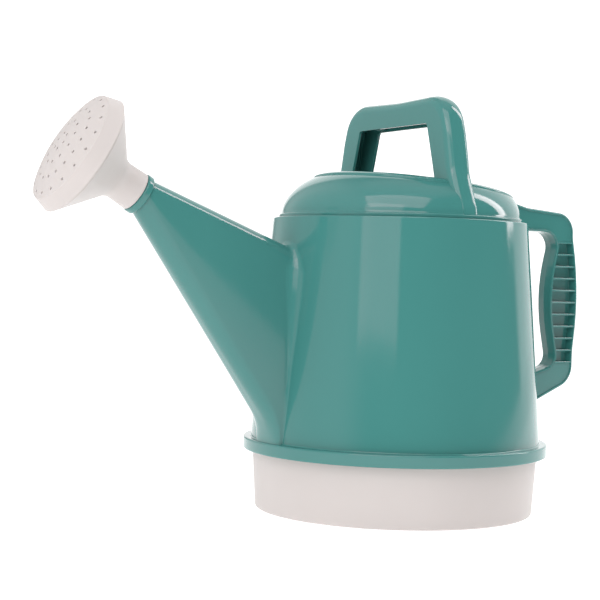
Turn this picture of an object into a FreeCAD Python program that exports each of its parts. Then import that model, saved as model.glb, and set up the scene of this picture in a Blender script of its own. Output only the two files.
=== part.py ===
"""Plastic watering can: teal can body on a white base pan, with a top handle,
a ribbed rear handle and a long flat-sided spout that carries a white rose.

Millimetres. +Z is up and the origin is the centre of the base pan's underside.
The spout points along +X, the rear handle along -X, and the can is symmetric
about the plane Y = 0.
"""
import FreeCAD, Part
import math
import os
from FreeCAD import Vector

# ---- driving dimensions ---------------------------------------------------
FLANGE_R = 127.0          # the can's widest ring, 10 inches across
WALL = 2.5                # moulded wall of the can body

BASE_TOP_Z = 49.3         # base pan, from the ground to the flange
BASE_R_BOTTOM = 115.6
BASE_R_TOP = 118.9
BASE_WALL = 3.0
SPIGOT_HEIGHT = 7.5       # lip of the pan that plugs into the body
SPIGOT_R = 115.0
SEAT_GAP = 0.2            # clearance where one moulding plugs into another

FLANGE_TOP_Z = 59.5
SHELL_R_BOTTOM = 120.7    # body wall just above the flange
SHELL_TOP_Z = 241.8
SHELL_R_TOP = 106.5
LEDGE_R = 98.0            # inner edge of the ledge that carries the top cover

COVER_BAND_R = 102.0      # plain band at the foot of the top cover
COVER_BAND_TOP_Z = 245.1
DOME_R = 100.0            # foot of the domed shoulder
DOME_FOOT_Z = 243.0
CREST_R = 85.2            # ring where the shoulder ends and the rim bead starts
CREST_X = -12.0
CREST_Z = 268.2
CREST_TILT = 5.6          # degrees, the rim dips towards the rear handle
SHOULDER_ANGLE = 45.0     # degrees of elliptic arc in the shoulder
RIM_HEIGHT = 3.4          # rim bead above the crest ring
RIM_STEP = 0.4            # the bead's foot stands this far inside the crest ring
RIM_WIDTH = 16.0          # from the crest ring in to the bead's inner foot
DECK_HEIGHT = 1.0         # flat land between the bead and the mouth
MOUTH_R = 62.0            # fill opening

HANDLE_T = 22.0           # top handle, thickness along X
HANDLE_ROUND = 7.5        # outer edge radius
HANDLE_SKIN = 2.6         # wall of the channel section
HANDLE_RIB_T = 1.6
HANDLE_RIB_Y = 38.0       # stiffening ribs inside the crossbar
WINDOW_TOP_Z = 319.5      # underside of the crossbar
WINDOW_HALF_TOP = 50.0    # half width of the handle's opening at its top
WINDOW_SLOPE = 0.294      # the legs spread by this much per unit of height
WINDOW_ROUND = 3.0

GRIP_T = 18.0             # rear handle, thickness along Y
GRIP_WALL = 2.2
POCKET_DEPTH = 7.0
RIB_T = 1.6
RIB_COUNT = 11
RIB_TOP_Z = 229.2
RIB_PITCH = 10.65

ROSE_X = 242.2            # where the rose's axis leaves the spout collar
ROSE_Z = 254.0
ROSE_ANGLE = 29.6         # degrees above the horizontal
COLLAR_T = 6.0
COLLAR_R = 16.3
NOZZLE_R = 13.0
NOZZLE_BORE_R = 10.8
NOZZLE_LENGTH = 16.0

SPOUT_TIP_R = 14.0
SPOUT_WALL = 2.3
SPOUT_ROOT_TOP = (90.0, 208.3)      # (x, z) inside the body, on the spout's top line
SPOUT_ROOT_BOTTOM = (109.5, 51.0)   # (x, z) inside the body, on its bottom line
SPOUT_ROOT_WIDTH = 34.0
SPOUT_ROOT_ROUND = 12.0

ROSE_NECK_R = 15.0
ROSE_NECK_R_BACK = 15.6
ROSE_NECK_BORE_R = 13.3
ROSE_NECK_LENGTH = 15.0
ROSE_WALL = 2.0
FLARE_ANGLE = 48.6        # degrees, half angle of the flare
FLARE_ROUND = 11.0
ROSE_LIP_R = 47.2         # the flare ends here, just inside the mouth of the cap's skirt
ROSE_RIM_R = 45.5         # flange that holds the cap
ROSE_RIM_FRONT = 54.2

CAP_BACK = 49.8           # distances along the rose's axis from the collar
CAP_FRONT = 62.0
CAP_R_BACK = 49.5
CAP_R_FRONT = 45.7
CAP_BULGE = 8.7
CAP_WALL = 1.9
CAP_BEAD_R = 44.8         # snap bead behind the rose's rim flange
HOLE_R = 1.2
HOLE_RINGS = (            # (ring radius, number of holes, first angle in degrees)
    (41.2, 18, 18.0),
    (30.0, 18, 8.0),
    (18.2, 11, 5.0),
    (7.3, 6, 45.0),
)

REACH = 400.0             # longer than anything in the can, for cutting tools
Z_AXIS = Vector(0, 0, 1)


# ---- helpers --------------------------------------------------------------
def revolve_profile(points, base=Vector(0, 0, 0), radial=Vector(1, 0, 0), axis=Z_AXIS):
    """Solid of revolution from (radius, distance along the axis) points.

    A point may also be ("arc", middle, end), each of those a (radius, distance).
    """
    def place(rz):
        return base + radial * rz[0] + axis * rz[1]

    edges = []
    here = points[0]
    for item in list(points[1:]) + [points[0]]:
        if item[0] == "arc":
            edges.append(Part.Arc(place(here), place(item[1]), place(item[2])).toShape())
            here = item[2]
        elif math.dist(here, item) > 1e-6:
            edges.append(Part.makeLine(place(here), place(item)))
            here = item
    face = Part.Face(Part.Wire(edges))
    return face.revolve(base, axis, 360)


def rounded_face(corners, place):
    """Flat face whose corners are (a, b, radius); a radius of 0 is a sharp corner."""
    ends = []
    for i, (a, b, radius) in enumerate(corners):
        here = Vector(a, b, 0)
        back = (Vector(corners[i - 1][0], corners[i - 1][1], 0) - here).normalize()
        after = corners[(i + 1) % len(corners)]
        ahead = (Vector(after[0], after[1], 0) - here).normalize()
        half = back.getAngle(ahead) / 2
        reach = radius / math.tan(half)
        bisector = (back + ahead).normalize()
        middle = here + bisector * (radius / math.sin(half) - radius)
        ends.append((here + back * reach, middle, here + ahead * reach))
    edges = []
    for i, (first, middle, last) in enumerate(ends):
        following = ends[(i + 1) % len(ends)][0]
        if corners[i][2] > 0:
            edges.append(Part.Arc(place(first), place(middle), place(last)).toShape())
        edges.append(Part.makeLine(place(last), place(following)))
    return Part.Face(Part.Wire(edges))


def thicken(face, half):
    """Flat face in the XZ or YZ plane extruded to both sides of that plane."""
    normal = face.normalAt(0, 0)
    solid = face.extrude(normal * (2 * half))
    solid.translate(normal * -half)
    return solid


def in_xz(p):
    return Vector(p.x, 0, p.y)


def in_yz(p):
    return Vector(0, p.x, p.y)


def rounded_section(centre, up, across, height, width, radius):
    """Rounded rectangle wire, its height along up and its width along across."""
    h = height / 2
    w = width / 2
    diagonal = radius * (1 - math.sqrt(0.5))
    edges = []
    corners = ((1, 1), (1, -1), (-1, -1), (-1, 1))

    def at(a, b):
        return centre + up * a + across * b

    ends = []
    for su, sw in corners:
        on_side = at(su * (h - radius), sw * w)
        on_end = at(su * h, sw * (w - radius))
        middle = at(su * (h - diagonal), sw * (w - diagonal))
        first, last = (on_side, on_end) if su * sw > 0 else (on_end, on_side)
        ends.append((first, middle, last))
    for i, (first, middle, last) in enumerate(ends):
        edges.append(Part.Arc(first, middle, last).toShape())
        edges.append(Part.makeLine(last, ends[(i + 1) % 4][0]))
    return Part.Wire(edges)


def rose_axis():
    angle = math.radians(ROSE_ANGLE)
    axis = Vector(math.cos(angle), 0, math.sin(angle))
    radial = Vector(-math.sin(angle), 0, math.cos(angle))
    return Vector(ROSE_X, 0, ROSE_Z), radial, axis


def revolve_on_rose(points):
    base, radial, axis = rose_axis()
    return revolve_profile(points, base, radial, axis)


def shell_radius(z):
    """Outer radius of the body wall at a height."""
    share = (z - FLANGE_TOP_Z) / (SHELL_TOP_Z - FLANGE_TOP_Z)
    return SHELL_R_BOTTOM + (SHELL_R_TOP - SHELL_R_BOTTOM) * share


# ---- can body -------------------------------------------------------------
def base_pan():
    """White pan that closes the bottom of the can, with a lip that plugs in."""
    inner_top = BASE_R_TOP - BASE_WALL
    lip_top = BASE_TOP_Z + SPIGOT_HEIGHT
    lip_inner = SPIGOT_R - WALL
    return revolve_profile([
        (0, 0),
        (BASE_R_BOTTOM, 0),
        (BASE_R_TOP, BASE_TOP_Z),
        (SPIGOT_R, BASE_TOP_Z),
        (SPIGOT_R, lip_top),
        (lip_inner, lip_top),
        (lip_inner, BASE_TOP_Z - BASE_WALL),
        (inner_top - BASE_WALL, BASE_TOP_Z - 2 * BASE_WALL),
        (BASE_R_BOTTOM - BASE_WALL, BASE_WALL),
        (0, BASE_WALL),
    ])


def body_envelope():
    """Everything inside the outer surface of the shell, the band and the flange."""
    return revolve_profile([
        (0, 0),
        (FLANGE_R, 0),
        (FLANGE_R, FLANGE_TOP_Z),
        (SHELL_R_BOTTOM, FLANGE_TOP_Z),
        (SHELL_R_TOP, SHELL_TOP_Z),
        (0, SHELL_TOP_Z),
    ])


def body_shell(spout_cavity):
    """Tapered wall with the flange at its foot and a ledge at its top."""
    chamfer = 1.0
    seat_r = SPIGOT_R + SEAT_GAP
    seat_top = BASE_TOP_Z + SPIGOT_HEIGHT + SEAT_GAP
    ledge_under = SHELL_TOP_Z - WALL
    shell = revolve_profile([
        (seat_r, BASE_TOP_Z),
        (FLANGE_R - chamfer, BASE_TOP_Z),
        (FLANGE_R, BASE_TOP_Z + chamfer),
        (FLANGE_R, FLANGE_TOP_Z - chamfer),
        (FLANGE_R - chamfer, FLANGE_TOP_Z),
        (SHELL_R_BOTTOM, FLANGE_TOP_Z),
        (SHELL_R_TOP, SHELL_TOP_Z),
        (LEDGE_R, SHELL_TOP_Z),
        (LEDGE_R, ledge_under),
        (shell_radius(ledge_under) - WALL, ledge_under),
        (shell_radius(seat_top) - WALL, seat_top + WALL),
        (seat_r, seat_top),
    ])
    return shell.cut(spout_cavity)


def crest_frame():
    """Centre, forward direction and normal of the tilted crest ring."""
    tilt = math.radians(CREST_TILT)
    forward = Vector(math.cos(tilt), 0, math.sin(tilt))
    normal = Vector(-math.sin(tilt), 0, math.cos(tilt))
    return Vector(CREST_X, 0, CREST_Z), forward, normal


def shoulder(inset):
    """Domed shoulder from its round foot to the crest ring, inset by a wall."""
    wires = []
    steps = 3
    full = math.radians(SHOULDER_ANGLE)
    for step in range(steps + 1):
        angle = full * step / steps
        inward = (1 - math.cos(angle)) / (1 - math.cos(full))
        rise = math.sin(angle) / math.sin(full)
        tilt = math.radians(CREST_TILT) * rise
        normal = Vector(-math.sin(tilt), 0, math.cos(tilt))
        lower = inset * inward
        centre = Vector(CREST_X * inward, 0, DOME_FOOT_Z + (CREST_Z - DOME_FOOT_Z) * rise - lower)
        radius = DOME_R + (CREST_R - DOME_R) * inward - inset
        wires.append(Part.Wire(Part.makeCircle(radius, centre, normal)))
    return Part.makeLoft(wires, True, False)


def top_cover():
    """Domed cover: a band on the shell's ledge, the shoulder and the rim bead."""
    band = revolve_profile([
        (LEDGE_R, SHELL_TOP_Z),
        (COVER_BAND_R, SHELL_TOP_Z),
        (COVER_BAND_R, COVER_BAND_TOP_Z),
        (LEDGE_R, COVER_BAND_TOP_Z),
    ])
    centre, forward, normal = crest_frame()
    mouth = Part.makeCylinder(MOUTH_R, REACH, centre - normal * (REACH / 2), normal)
    dome = shoulder(0).cut([shoulder(WALL), mouth])
    bead_foot = CREST_R - RIM_STEP
    bead_end = (CREST_R - RIM_WIDTH, DECK_HEIGHT * 1.6)
    deck = revolve_profile([
        (MOUTH_R, 0.0),
        (MOUTH_R, -WALL),
        (CREST_R - WALL / 2, -WALL),
        (bead_foot, 0.0),
        (bead_foot, DECK_HEIGHT * 1.2),
        ("arc", (CREST_R - RIM_WIDTH / 2, RIM_HEIGHT), bead_end),
        (MOUTH_R + DECK_HEIGHT * 1.5, DECK_HEIGHT),
    ], centre, forward, normal)
    return band.fuse([dome, deck]).removeSplitter()


# ---- top handle -----------------------------------------------------------
def handle_face():
    """Outer outline of the top handle in the YZ plane, its underside left solid."""
    side = [
        (101.5, COVER_BAND_TOP_Z, 0),
        (89.0, 281.0, 90.0),
        (80.0, 311.0, 60.0),
        (69.5, 343.6, 25.0),
    ]
    sag = (0.0, 338.3, 300.0)
    mirrored = [(-y, z, radius) for y, z, radius in reversed(side)]
    return rounded_face(side + [sag] + mirrored, in_yz)


def handle_window():
    """Opening between the legs, running down far below the cover."""
    low_z = 200.0
    half_low = WINDOW_HALF_TOP + (WINDOW_TOP_Z - low_z) * WINDOW_SLOPE
    face = rounded_face([
        (half_low, low_z, 0),
        (WINDOW_HALF_TOP, WINDOW_TOP_Z, WINDOW_ROUND),
        (-WINDOW_HALF_TOP, WINDOW_TOP_Z, WINDOW_ROUND),
        (-half_low, low_z, 0),
    ], in_yz)
    return thicken(face, HANDLE_T)


def handle_channel():
    """Hollow of the channel section, with stiffening ribs left across the crossbar."""
    inner_face = handle_face().makeOffset2D(-HANDLE_SKIN)
    channel = thicken(inner_face, HANDLE_T / 2 - HANDLE_SKIN)
    for side in (1, -1):
        corner = Vector(-HANDLE_T, side * HANDLE_RIB_Y - HANDLE_RIB_T / 2, WINDOW_TOP_Z)
        channel = channel.cut(Part.makeBox(2 * HANDLE_T, HANDLE_RIB_T, REACH, corner))
    return channel


def top_handle(cover_filled):
    """Channel-section handle across the can, its legs standing on the shoulder."""
    handle = thicken(handle_face(), HANDLE_T / 2)
    rounded = []
    for edge in handle.Edges:
        lies_on_a_side = edge.BoundBox.XLength < 1e-6
        on_foot = edge.BoundBox.ZMax < COVER_BAND_TOP_Z + 1e-3
        if lies_on_a_side and not on_foot:
            rounded.append(edge)
    handle = handle.makeFillet(HANDLE_ROUND, rounded)
    return handle.cut([handle_window(), handle_channel(), cover_filled])


# ---- rear handle ----------------------------------------------------------
def rear_handle_face():
    """Side view of the rear handle: its outline less the finger opening."""
    outline = rounded_face([
        (-85.0, 262.0, 0),
        (-113.0, 262.6, 15.0),
        (-129.0, 258.7, 20.0),
        (-181.8, 254.4, 17.5),
        (-181.5, 234.0, 30.0),
        (-191.5, 186.0, 260.0),
        (-184.5, 134.0, 100.0),
        (-184.6, 106.9, 20.0),
        (-85.0, 62.3, 0),
    ], in_xz)
    hole = rounded_face([
        (-60.0, 238.0, 0),
        (-162.6, 238.0, 13.0),
        (-162.4, 223.0, 0),
        (-152.3, 184.0, 150.0),
        (-165.2, 121.2, 11.0),
        (-60.0, 91.1, 0),
    ], in_xz)
    return outline.cut(hole).Faces[0]


def grip_pockets():
    """Rows of pockets sunk into both side faces of the grip, between its ribs."""
    lowest = RIB_TOP_Z - (RIB_COUNT - 1) * RIB_PITCH
    inset = rear_handle_face().makeOffset2D(-GRIP_WALL)
    span = Part.makeBox(REACH, REACH, RIB_TOP_Z - lowest, Vector(-REACH, -REACH / 2, lowest))
    pocket = thicken(inset, GRIP_T).common(span)
    web_half = GRIP_T / 2 - POCKET_DEPTH
    tools = [Part.makeBox(REACH, 2 * web_half, REACH, Vector(-REACH, -web_half, 0))]
    for i in range(RIB_COUNT):
        z = RIB_TOP_Z - i * RIB_PITCH
        tools.append(Part.makeBox(REACH, REACH, RIB_T, Vector(-REACH, -REACH / 2, z - RIB_T / 2)))
    return pocket.cut(tools)


def rear_handle(body_solids):
    """Vertical grip behind the can on an upper and a lower arm."""
    handle = thicken(rear_handle_face(), GRIP_T / 2)
    return largest(handle.cut([grip_pockets()] + body_solids))


def largest(shape):
    """The main solid of a cut, without the loose offcuts inside the body."""
    return max(shape.Solids, key=lambda solid: solid.Volume)


# ---- spout ----------------------------------------------------------------
def spout_block(inset):
    """Flat-sided tapered blade from inside the body to the collar, inset by a wall."""
    base, radial, axis = rose_axis()
    across = Vector(0, 1, 0)
    tip_centre = base - axis * COLLAR_T
    tip_size = 2 * (SPOUT_TIP_R - inset)
    nearly_round = tip_size / 2 - 0.3
    tip = rounded_section(tip_centre, radial, across, tip_size, tip_size, nearly_round)
    top = Vector(SPOUT_ROOT_TOP[0], 0, SPOUT_ROOT_TOP[1])
    bottom = Vector(SPOUT_ROOT_BOTTOM[0], 0, SPOUT_ROOT_BOTTOM[1])
    up = (top - bottom).normalize()
    height = (top - bottom).Length - 2 * inset
    root = rounded_section((top + bottom) * 0.5, up, across, height,
                           SPOUT_ROOT_WIDTH - 2 * inset, SPOUT_ROOT_ROUND - inset)
    return Part.makeLoft([root, tip], True, True)


def spout_cavity():
    """Water way through the spout and the body wall behind it."""
    return spout_block(SPOUT_WALL)


def spout(envelope, cavity):
    """Hollow spout, cut to the outside of the body."""
    hollow = spout_block(0).cut(cavity).cut(envelope)
    return largest(hollow)


def spout_nozzle():
    """Collar ring at the spout's end with the tube that the rose slips over."""
    edge = 1.5
    return revolve_on_rose([
        (NOZZLE_BORE_R, -COLLAR_T),
        (SPOUT_TIP_R, -COLLAR_T),
        (COLLAR_R, -COLLAR_T + edge),
        (COLLAR_R, -edge),
        (COLLAR_R - edge, 0),
        (NOZZLE_R, 0),
        (NOZZLE_R, NOZZLE_LENGTH - edge),
        (NOZZLE_R - edge / 2, NOZZLE_LENGTH),
        (NOZZLE_BORE_R, NOZZLE_LENGTH),
    ])


# ---- rose -----------------------------------------------------------------
def flare_points(offset):
    """Neck end, arc middle and end of the round that turns the neck into the flare."""
    angle = math.radians(FLARE_ANGLE)
    radius = FLARE_ROUND + offset
    centre_r = ROSE_NECK_R + FLARE_ROUND
    start = (centre_r - radius, ROSE_NECK_LENGTH)
    middle = (centre_r - radius * math.cos(angle / 2), ROSE_NECK_LENGTH + radius * math.sin(angle / 2))
    end = (centre_r - radius * math.cos(angle), ROSE_NECK_LENGTH + radius * math.sin(angle))
    return start, middle, end


def on_flare(end, r):
    """Point of the conical flare at a radius, beyond the end of its round."""
    return (r, end[1] + (r - end[0]) / math.tan(math.radians(FLARE_ANGLE)))


def rose_funnel():
    """Neck, flare and rim of the rose, hollow from end to end."""
    gap = 0.3
    start, middle, end = flare_points(0)
    in_start, in_middle, in_end = flare_points(ROSE_WALL)
    lip = on_flare(end, ROSE_LIP_R)
    seat_r = ROSE_RIM_R - 1.1
    rim_inner = seat_r - ROSE_WALL
    flange_back = ROSE_RIM_FRONT - 2.0
    return revolve_on_rose([
        (ROSE_NECK_BORE_R, gap),
        (ROSE_NECK_R_BACK, gap),
        start,
        ("arc", middle, end),
        lip,
        (ROSE_LIP_R, lip[1] + 1.5),
        (seat_r, lip[1] + 1.8),
        (seat_r, flange_back),
        (ROSE_RIM_R, flange_back),
        (ROSE_RIM_R, ROSE_RIM_FRONT),
        (rim_inner, ROSE_RIM_FRONT),
        on_flare(in_end, rim_inner),
        in_end,
        ("arc", in_middle, in_start),
        (ROSE_NECK_BORE_R, ROSE_NECK_LENGTH + 0.5),
    ])


def rose_neck_and_flare():
    """The funnel moulding as two nodes, parted where its straight neck ends."""
    funnel = rose_funnel()
    base, _, axis = rose_axis()
    neck_zone = Part.makeCylinder(ROSE_LIP_R, ROSE_NECK_LENGTH, base, axis)
    return funnel.common(neck_zone), funnel.cut(neck_zone)


def cap_dome(back, edge_r, bulge):
    """Arc middle and crown point of a domed face, from its edge to the axis."""
    sphere_r = (edge_r ** 2 + bulge ** 2) / (2 * bulge)
    half = math.asin(edge_r / sphere_r) / 2
    middle = (sphere_r * math.sin(half), back + bulge - sphere_r * (1 - math.cos(half)))
    return middle, (0, back + bulge)


def rose_cap():
    """Domed spray face with its skirt and its rings of holes."""
    base, radial, axis = rose_axis()
    across = Vector(0, 1, 0)
    slope = (CAP_R_FRONT - CAP_R_BACK) / (CAP_FRONT - CAP_BACK)
    bead_back = CAP_BACK + 1.0
    bead_front = bead_back + 1.2
    stop = ROSE_RIM_FRONT + 0.5

    def skirt_inner(s):
        return CAP_R_BACK + slope * (s - CAP_BACK) - CAP_WALL

    out_middle, out_crown = cap_dome(CAP_FRONT, CAP_R_FRONT, CAP_BULGE)
    inner_front = CAP_FRONT - 0.4
    in_r = skirt_inner(inner_front) - 0.8
    in_middle, in_crown = cap_dome(inner_front, in_r, CAP_BULGE - CAP_WALL + 0.4)
    cap = revolve_on_rose([
        (skirt_inner(CAP_BACK), CAP_BACK),
        (CAP_R_BACK, CAP_BACK),
        (CAP_R_FRONT, CAP_FRONT),
        ("arc", out_middle, out_crown),
        in_crown,
        ("arc", in_middle, (in_r, inner_front)),
        (in_r, stop),
        (skirt_inner(stop), stop),
        (skirt_inner(bead_front), bead_front),
        (CAP_BEAD_R, bead_front),
        (CAP_BEAD_R, bead_back),
        (skirt_inner(bead_back), bead_back),
    ])
    drills = []
    behind_face = base + axis * (CAP_FRONT - CAP_WALL * 2)
    for ring_r, count, first in HOLE_RINGS:
        for i in range(count):
            angle = math.radians(first + 360.0 * i / count)
            outward = radial * math.cos(angle) + across * math.sin(angle)
            drills.append(Part.makeCylinder(HOLE_R, CAP_BULGE * 2, behind_face + outward * ring_r, axis))
    return cap.cut(drills)


# ---- output ---------------------------------------------------------------
def single_solid(shape):
    """One clean solid, whatever container a boolean left it in."""
    solids = shape.Solids
    if len(solids) != 1:
        raise RuntimeError("expected one solid, found %d" % len(solids))
    return solids[0]


def build():
    cavity = spout_cavity()
    envelope = body_envelope()
    cover = top_cover()
    centre, forward, normal = crest_frame()
    over_rim = Part.makeCylinder(CREST_R, REACH, centre, normal)
    cover_filled = shoulder(0).fuse(revolve_profile([
        (0, SHELL_TOP_Z),
        (COVER_BAND_R, SHELL_TOP_Z),
        (COVER_BAND_R, COVER_BAND_TOP_Z),
        (0, COVER_BAND_TOP_Z),
    ]))
    neck, flare = rose_neck_and_flare()
    return {
        "base_pan": base_pan(),
        "body_shell": body_shell(cavity),
        "top_cover": cover,
        "top_handle": top_handle(cover_filled.fuse(cover)),
        "rear_handle": rear_handle([envelope, cover_filled, over_rim]),
        "spout": spout(envelope, cavity),
        "spout_nozzle": spout_nozzle(),
        "rose_neck": neck,
        "rose_flare": flare,
        "rose_cap": rose_cap(),
    }


os.makedirs("parts", exist_ok=True)
for node, shape in build().items():
    solid = single_solid(shape)
    solid.exportStep("parts/%s.step" % node)
    print("%-14s %9.1f mm3 valid %s" % (node, solid.Volume, solid.isValid()))
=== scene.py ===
"""Looks of a plastic watering can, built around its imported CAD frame.

The shapes are made in millimetres, in the frame's own axes, and go to Blender in metres.
+Z is up, the spout points along +X and the rear handle along -X.
"""
import math

import bmesh
import bpy
import numpy as np
from mathutils import Matrix, Vector
from mathutils.geometry import delaunay_2d_cdt


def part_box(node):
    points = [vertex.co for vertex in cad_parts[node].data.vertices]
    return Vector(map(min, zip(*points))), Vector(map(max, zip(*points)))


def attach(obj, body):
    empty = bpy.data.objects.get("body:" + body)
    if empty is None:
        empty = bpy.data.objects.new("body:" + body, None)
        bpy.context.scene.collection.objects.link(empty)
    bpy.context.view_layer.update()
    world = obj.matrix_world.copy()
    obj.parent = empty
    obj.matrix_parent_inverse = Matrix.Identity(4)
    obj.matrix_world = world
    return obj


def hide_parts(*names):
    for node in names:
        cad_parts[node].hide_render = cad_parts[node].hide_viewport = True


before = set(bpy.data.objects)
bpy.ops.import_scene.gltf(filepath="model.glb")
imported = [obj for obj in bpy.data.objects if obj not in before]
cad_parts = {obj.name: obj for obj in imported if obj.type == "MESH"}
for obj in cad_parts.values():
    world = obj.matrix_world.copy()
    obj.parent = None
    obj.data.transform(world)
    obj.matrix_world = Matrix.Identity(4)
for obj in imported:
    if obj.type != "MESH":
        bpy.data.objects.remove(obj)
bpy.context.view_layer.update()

MM = 0.001
TAU = 2 * math.pi
SHARP = math.radians(38)   # edges that bend by more than this are shaded sharp
SAME_POINT = 1e-7          # points nearer than this are one point, in metres

# ---- how finely the meshes are made ----
CAN_SEGMENTS = 224         # points round a ring
ROSE_SEGMENTS = 160
NOZZLE_SEGMENTS = 112
CAN_STEP = 6.0             # longest straight step along an outline
BEAD_STEP = 5.0
ROSE_STEP = 4.0
SKIRT_STEP = 3.0


def node_box(node):
    """Lowest and highest corner of a CAD node in millimetres."""
    return [Vector(corner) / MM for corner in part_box(node)]


# ---- driving dimensions, from the frame where it has them ----
SHELL_LOW, SHELL_HIGH = node_box("body_shell")
FLANGE_R = SHELL_HIGH.x
FLANGE_BOTTOM_Z = SHELL_LOW.z
SHELL_TOP_Z = SHELL_HIGH.z
BASE_R_TOP = node_box("base_pan")[1].x
LIP_TOP_Z = node_box("base_pan")[1].z
COVER_BAND_R = node_box("top_cover")[1].x
SUNK = 1.2                 # handles and spout run into the can's wall by this much

BASE_R_BOTTOM = 115.6
BASE_WALL = 3.0
LIP_R = 115.0
WALL = 2.5
FLANGE_TOP_Z = 59.5
SHELL_R_BOTTOM = 120.7
SHELL_R_TOP = 106.5
LEDGE_R = 98.0
COVER_BAND_TOP_Z = 245.1

# The dome rises from its foot to the crest, a tilted ring that carries the rim bead.
DOME_R = 100.0
DOME_FOOT_Z = 243.0
CREST_R = 85.2
CREST_X = -12.0
CREST_Z = 268.2
CREST_TILT = math.radians(5.6)
SHOULDER_ANGLE = math.radians(45)
RIM_HEIGHT = 3.4
MOUTH_R = 62.0

HANDLE_HALF_T = 11.0
HANDLE_FOOT_HALF_T = 10.0
HANDLE_FOOT_X = 1.5        # its feet lean forward by this much
HANDLE_FOOT_TOP_Z = 290.0  # its legs start to thin and lean towards their feet below this,
HANDLE_FOOT_FADE = 45.0    # and have done so in full this much lower
HANDLE_TOP_R = 19.0        # the outer face of the top handle is a shallow arch
HANDLE_APEX = 1.0
HANDLE_CROWN = 2.6
HANDLE_ROUND = 7.0         # radius between that arch and the flat faces
HANDLE_SKIN = 2.6
WINDOW_TOP_Z = 319.5       # the opening under the handle
WINDOW_HALF_TOP = 50.0
WINDOW_SLOPE = 0.294       # how fast each of its sides leans out on the way down
WINDOW_ROUND = 3.0
CROSS_RIB_Y = 38.0
CROSS_RIB_T = 1.6

GRIP_HALF_T = 9.0
GRIP_LIP = 2.2             # plain edge along both outlines of the rear handle
POCKET_DEPTH = 7.0         # its sides are sunk by this much between the ribs
ARM_RECESS = 1.1           # and by this much along the arms
RIB_T = 1.6
RIB_COUNT = 11
RIB_TOP_Z = 229.2
RIB_PITCH = 10.65
RIB_DRAFT = 0.3            # a rib is thicker at its root by this much on each face
RIB_EDGE = ((0.1, 0.35), (0.35, 0.12))     # round of its edge, as (way in from its face, recess)

ROSE_BASE = Vector((242.2, 0, 254.0))      # middle of the collar's front face
ROSE_ANGLE = math.radians(29.6)
ROSE_AXIS = Vector((math.cos(ROSE_ANGLE), 0, math.sin(ROSE_ANGLE)))
ROSE_UP = Vector((-math.sin(ROSE_ANGLE), 0, math.cos(ROSE_ANGLE)))
ACROSS = Vector((0, 1, 0))
COLLAR_T = 6.0
COLLAR_R = 16.3
NOZZLE_R = 13.0
NOZZLE_BORE_R = 10.8
NOZZLE_LENGTH = 16.0

SPOUT_TIP_R = 14.0
SPOUT_WALL = 2.3
SPOUT_SPANS = 40           # straight steps from the root to the tip
SPOUT_ROOT_TOP = Vector((90.0, 0, 208.3))
SPOUT_ROOT_BOTTOM = Vector((109.5, 0, 51.0))
SPOUT_ROOT_MIDDLE_Z = 140.0
SPOUT_ROOT_WIDTH = 34.0
SPOUT_ROOT_ROUND = 12.0
SPOUT_ROOT_TAPER = 0.3     # the root's foot is wider than its top by this share
SPOUT_SIDE_CROWN = 2.4     # the flat sides bulge by this much at the root
WATER_WAY_STEPS = 9

# The root runs out onto the wall in a fillet, with a radius for each height.
FILLET_Z = (95.0, 120.0, 180.0, 195.0, 210.0)
FILLET_R = (2.5, 4.0, 13.0, 14.0, 5.0)
FILLET_STEPS = 11
FILLET_REACH = 15.0        # it reaches no further than this
FILLET_INSET = 0.04        # its edge lies this far under the wall's surface

# Down this band of heights the fillet turns into a foot, which runs down to the flange.
FOOT_Z = (78.0, 104.0)
FOOT_REACH = 24.0          # the foot starts to bend this far out along the spout
FOOT_RIDGE = 4.0           # and stands this far out from the wall at the flange

ROSE_NECK_R = 15.0
ROSE_NECK_R_BACK = 15.6
ROSE_NECK_BORE_R = 13.3
ROSE_NECK_LENGTH = 15.0
ROSE_WALL = 2.0
FLARE_ANGLE = math.radians(48.6)
FLARE_ROUND = 11.0
ROSE_LIP_R = 47.2          # the flare ends here, just inside the mouth of the cap's skirt
ROSE_RIM_R = 45.5
ROSE_RIM_FRONT = 54.2
CAP_BACK = 49.8
CAP_FRONT = 62.0
CAP_R_BACK = 49.5
CAP_R_FRONT = 45.7
CAP_BULGE = 8.7
CAP_WALL = 1.9
CAP_EDGE_ROUND = 1.0
HOLE_R = 1.2
# Rings of holes, as (radius of the ring, number of holes, angle of the first in degrees).
HOLE_RINGS = ((41.2, 18, 18.0), (30.0, 18, 8.0), (18.2, 11, 5.0), (7.3, 6, 45.0))


# ---- outlines ----
def corner_arc(before, corner, after, radius, step=math.radians(9)):
    """Points of the arc that rounds a corner of a 2D outline, from its start to its end."""
    here = Vector(corner[:2])
    back = (Vector(before[:2]) - here).normalized()
    ahead = (Vector(after[:2]) - here).normalized()
    if radius == 0:
        return [here]
    half = back.angle(ahead) / 2
    centre = here + (back + ahead).normalized() * (radius / math.sin(half))
    arm = here + back * (radius / math.tan(half)) - centre
    turn = math.pi - 2 * half
    if ahead.x * back.y - ahead.y * back.x <= 0:
        turn = -turn
    count = max(2, math.ceil(abs(turn) / step))
    points = []
    for k in range(count + 1):
        angle = turn * k / count
        c, s = math.cos(angle), math.sin(angle)
        points.append(centre + Vector((arm.x * c - arm.y * s, arm.x * s + arm.y * c)))
    return points


def rounded_outline(corners, closed=True, step=math.radians(9)):
    """Outline through (a, b, radius) corners with each corner rounded."""
    points = []
    last = len(corners) - 1
    for i, corner in enumerate(corners):
        if not closed and i in (0, last):
            points.append(Vector(corner[:2]))
            continue
        after = corners[(i + 1) % len(corners)]
        points += corner_arc(corners[i - 1], corner, after, corner[2], step)
    return points


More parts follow.
